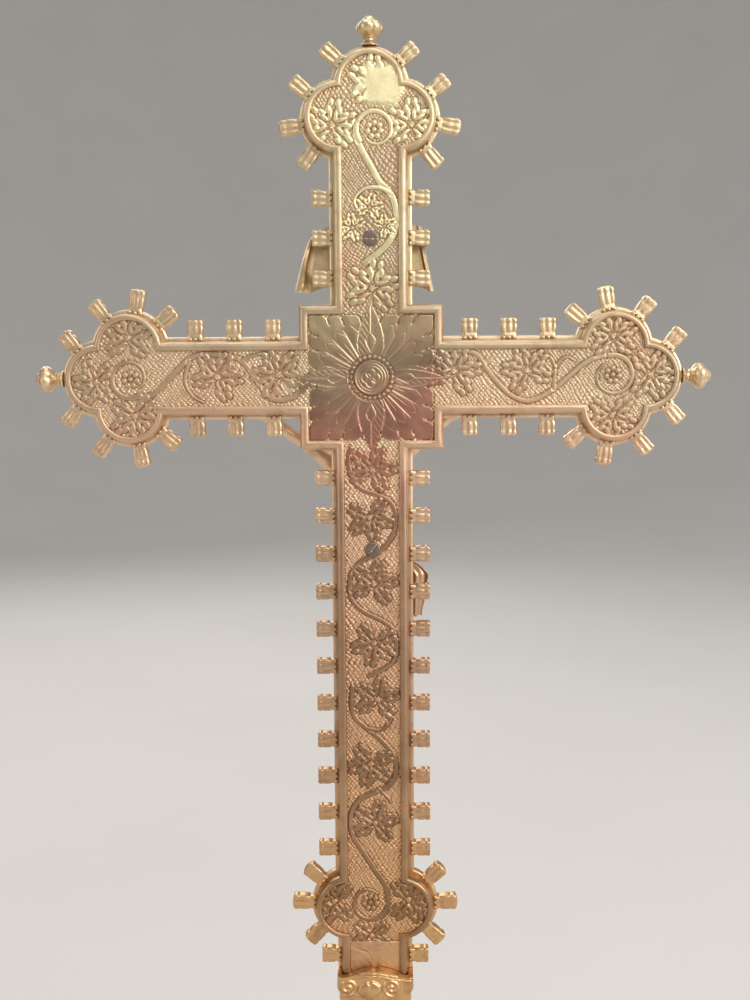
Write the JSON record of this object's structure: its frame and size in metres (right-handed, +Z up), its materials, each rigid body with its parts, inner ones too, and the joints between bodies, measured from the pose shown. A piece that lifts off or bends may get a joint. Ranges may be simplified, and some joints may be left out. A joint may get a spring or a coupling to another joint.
{
  "type": "altar cross",
  "caption": "Standing trefoil-ended altar cross of gilt brass with an engraved back plate, crest studs, a figure on the front and a turned foot it lifts out of.",
  "frame": {"origin": "centre of the foot's underside, on the table", "axes": "+Z up, -Y towards the side with the figure, +Y towards the engraved back plate, +X to the right of someone facing the figure"},
  "size_m": [0.2998, 0.156, 0.6396],
  "materials": {
    "socket_capital": "aged gilt brass, darker in the hollows",
    "upper_stem": "aged gilt brass, darker in the hollows",
    "knop": "aged gilt brass, darker in the hollows",
    "lower_stem": "aged gilt brass, darker in the hollows",
    "stem_collar": "aged gilt brass, darker in the hollows",
    "foot_dome": "aged gilt brass, darker in the hollows",
    "foot_bead_ring": "aged gilt brass, darker in the hollows",
    "foot_plinth": "aged gilt brass, darker in the hollows",
    "foot_weight": "rough black cast iron",
    "foot_pad": "green felt",
    "tie_rod": "dull grey steel",
    "tie_washer": "dull grey steel",
    "tie_nut": "dull grey steel",
    "front_casting": "aged polished gilt brass",
    "back_plate": "polished gilt brass, engraved on a stippled ground",
    "tang": "dull grey steel",
    "tang_rivets": "dull grey steel",
    "crest_studs_upper": "aged polished gilt brass",
    "crest_studs_left": "aged polished gilt brass",
    "crest_studs_right": "aged polished gilt brass",
    "crest_studs_shaft": "aged polished gilt brass",
    "crest_studs_foot": "aged polished gilt brass",
    "finial_top": "aged polished gilt brass",
    "finial_left": "aged polished gilt brass",
    "finial_right": "aged polished gilt brass",
    "titulus_scroll": "aged polished gilt brass",
    "titulus_screw": "dull grey steel",
    "corpus": "aged polished gilt brass",
    "corpus_screw": "dull grey steel",
    "corpus_nails": "aged polished gilt brass"
  },
  "bodies": {
    "base": {"socket_capital": "socket_capital", "upper_stem": "upper_stem", "knop": "knop", "lower_stem": "lower_stem", "stem_collar": "stem_collar", "foot_dome": "foot_dome", "foot_bead_ring": "foot_bead_ring", "foot_plinth": "foot_plinth", "foot_weight": "foot_weight", "foot_pad": "foot_pad", "tie_rod": "tie_rod", "tie_washer": "tie_washer", "tie_nut": "tie_nut"},
    "cross": {"front_casting": "front_casting", "back_plate": "back_plate", "tang": "tang", "tang_rivets": "tang_rivets", "crest_studs_upper": "crest_studs_upper", "crest_studs_left": "crest_studs_left", "crest_studs_right": "crest_studs_right", "crest_studs_shaft": "crest_studs_shaft", "crest_studs_foot": "crest_studs_foot", "finial_top": "finial_top", "finial_left": "finial_left", "finial_right": "finial_right", "titulus_scroll": "titulus_scroll", "titulus_screw": "titulus_screw", "corpus": "corpus", "corpus_screw": "corpus_screw", "corpus_nails": "corpus_nails"}
  },
  "joints": [
    {"name": "cross_lift", "type": "slide", "parent": "base", "child": "cross", "axis": [0, 0, 1], "range_m": [0, 0.04]}
  ]
}
